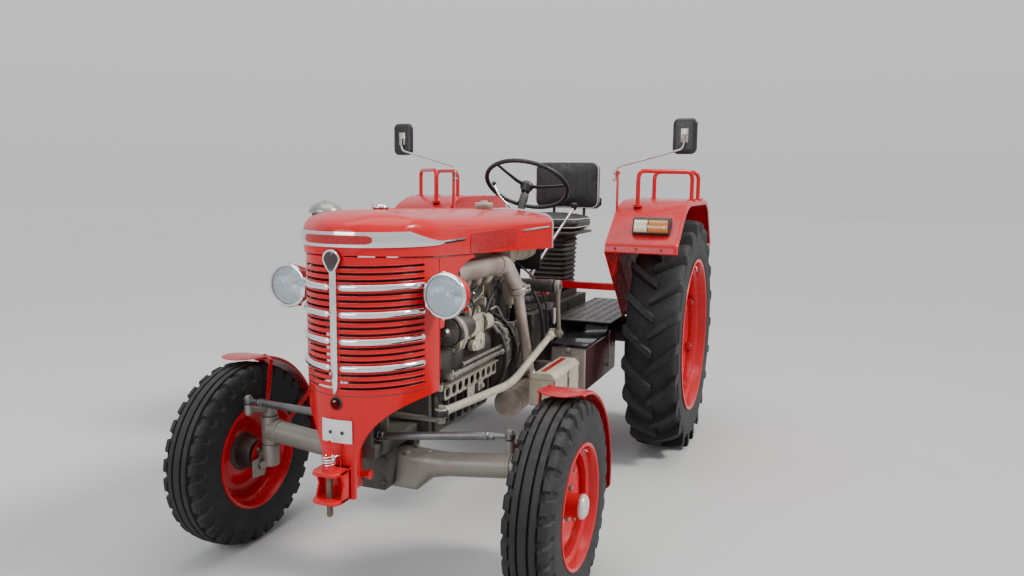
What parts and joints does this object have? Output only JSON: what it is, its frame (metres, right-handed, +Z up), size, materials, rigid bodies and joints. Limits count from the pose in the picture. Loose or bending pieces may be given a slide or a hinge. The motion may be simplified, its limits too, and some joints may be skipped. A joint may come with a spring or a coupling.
{
  "type": "farm tractor",
  "caption": "Vintage farm tractor with open engine, louvred front cover, lugged rear tyres, cycle front fenders, steering linkage, opening bonnet and toolbox lid.",
  "frame": {"origin": "centre of the bounding box's bottom face, on the ground between the wheels", "axes": "+X towards the front of the tractor, +Y to its left, +Z up"},
  "size_m": [3.428, 1.97, 2.055],
  "materials": {
    "red_paint": "gloss enamel",
    "silver_paint": "semi-gloss engine paint",
    "cast_metal": "painted casting",
    "dark_metal": "dark paint",
    "chrome_trim": "polished",
    "tyre_rubber": "matt rubber",
    "seat_vinyl": "smooth vinyl",
    "black_plastic": "satin",
    "steel": "bare steel"
  },
  "bodies": {
    "tractor": {"engine_block": "cast_metal", "transmission": "cast_metal", "front_frame": "cast_metal", "front_axle": "cast_metal", "nose": "red_paint", "front_hitch": "red_paint", "radiator": "dark_metal", "front_cover": "red_paint", "grille_trim": "chrome_trim", "headlamps": "red_paint", "air_cleaner": "silver_paint", "fuel_tank": "silver_paint", "bulkhead": "dark_metal", "exhaust": "silver_paint", "injection_pump": "silver_paint", "generator": "dark_metal", "pedal_linkage": "dark_metal", "steering_column": "dark_metal", "battery_box": "silver_paint", "toolbox": "silver_paint", "platform": "dark_metal", "rear_fenders": "red_paint", "fender_brace": "red_paint", "grab_rails": "red_paint", "mirrors": "black_plastic", "lamps": "red_paint", "seat_post": "dark_metal", "seat_cushion": "seat_vinyl", "seat_back": "seat_vinyl", "levers": "chrome_trim", "rear_hitch": "steel"},
    "bonnet": {"bonnet": "red_paint", "bonnet_trim": "chrome_trim"},
    "fan": {"fan": "dark_metal"},
    "steering_wheel": {"steering_wheel": "black_plastic"},
    "pitman_arm": {"pitman_arm": "steel"},
    "drag_link": {"drag_link": "steel"},
    "steering_lever": {"steering_lever": "steel"},
    "tie_rod_left": {"tie_rod_left": "steel"},
    "tie_rod_right": {"tie_rod_right": "steel"},
    "knuckle_left": {"knuckle_left": "steel", "front_fender_left": "red_paint"},
    "knuckle_right": {"knuckle_right": "steel", "front_fender_right": "red_paint"},
    "front_wheel_left": {"front_tyre_left": "tyre_rubber", "front_rim_left": "red_paint"},
    "front_wheel_right": {"front_tyre_right": "tyre_rubber", "front_rim_right": "red_paint"},
    "rear_wheel_left": {"rear_tyre_left": "tyre_rubber", "rear_rim_left": "red_paint"},
    "rear_wheel_right": {"rear_tyre_right": "tyre_rubber", "rear_rim_right": "red_paint"},
    "toolbox_lid": {"toolbox_lid": "silver_paint"}
  },
  "joints": [
    {"name": "steer_left", "type": "hinge", "parent": "tractor", "child": "knuckle_left", "pos_m": [1.234, 0.62, 0.42], "axis": [0, 0, 1], "range_deg": [-28, 28]},
    {"name": "steer_right", "type": "hinge", "parent": "tractor", "child": "knuckle_right", "pos_m": [1.234, -0.62, 0.42], "axis": [0, 0, 1], "range_deg": [-28, 28]},
    {"name": "lever_turn", "type": "hinge", "parent": "tractor", "child": "steering_lever", "pos_m": [1.294, 0, 0.69], "axis": [0, 0, 1], "range_deg": [-28, 28]},
    {"name": "tie_left_pivot", "type": "hinge", "parent": "knuckle_left", "child": "tie_rod_left", "pos_m": [1.373, 0.62, 0.715], "axis": [0, 0, 1], "range_deg": [-28, 28]},
    {"name": "tie_right_pivot", "type": "hinge", "parent": "knuckle_right", "child": "tie_rod_right", "pos_m": [1.373, -0.62, 0.715], "axis": [0, 0, 1], "range_deg": [-28, 28]},
    {"name": "drag_pivot", "type": "hinge", "parent": "steering_lever", "child": "drag_link", "pos_m": [1.294, 0.285, 0.742], "axis": [0, 0, 1], "range_deg": [-28, 28]},
    {"name": "pitman_turn", "type": "hinge", "parent": "tractor", "child": "pitman_arm", "pos_m": [0.094, 0.365, 1.13], "axis": [0, 1, 0], "range_deg": [-32, 32]},
    {"name": "steering_wheel_turn", "type": "hinge", "parent": "tractor", "child": "steering_wheel", "pos_m": [-0.426, 0, 1.666], "axis": [-0.5592, 0, 0.829], "range_deg": [-425, 425]},
    {"name": "front_left_spin", "type": "hinge", "parent": "knuckle_left", "child": "front_wheel_left", "pos_m": [1.234, 0.776, 0.42], "axis": [0, 1, 0], "continuous": true},
    {"name": "front_right_spin", "type": "hinge", "parent": "knuckle_right", "child": "front_wheel_right", "pos_m": [1.234, -0.776, 0.42], "axis": [0, 1, 0], "continuous": true},
    {"name": "rear_left_spin", "type": "hinge", "parent": "tractor", "child": "rear_wheel_left", "pos_m": [-0.986, 0.8, 0.728], "axis": [0, 1, 0], "continuous": true},
    {"name": "rear_right_spin", "type": "hinge", "parent": "tractor", "child": "rear_wheel_right", "pos_m": [-0.986, -0.8, 0.728], "axis": [0, 1, 0], "continuous": true},
    {"name": "fan_spin", "type": "hinge", "parent": "tractor", "child": "fan", "pos_m": [1.154, 0, 1.04], "axis": [1, 0, 0], "continuous": true},
    {"name": "bonnet_hinge", "type": "hinge", "parent": "tractor", "child": "bonnet", "pos_m": [-0.041, 0, 1.478], "axis": [0, -1, 0], "range_deg": [0, 45]},
    {"name": "toolbox_hinge", "type": "hinge", "parent": "tractor", "child": "toolbox_lid", "pos_m": [0.299, 0.36, 0.716], "axis": [1, 0, 0], "range_deg": [0, 60]}
  ],
  "couplings": [
    {"joint": "steer_right", "follows": "steer_left", "ratio": 1},
    {"joint": "lever_turn", "follows": "steer_left", "ratio": 1},
    {"joint": "tie_left_pivot", "follows": "steer_left", "ratio": -1},
    {"joint": "tie_right_pivot", "follows": "steer_left", "ratio": -1},
    {"joint": "drag_pivot", "follows": "steer_left", "ratio": -1},
    {"joint": "pitman_turn", "follows": "steer_left", "ratio": 1.11},
    {"joint": "steering_wheel_turn", "follows": "steer_left", "ratio": 15}
  ]
}
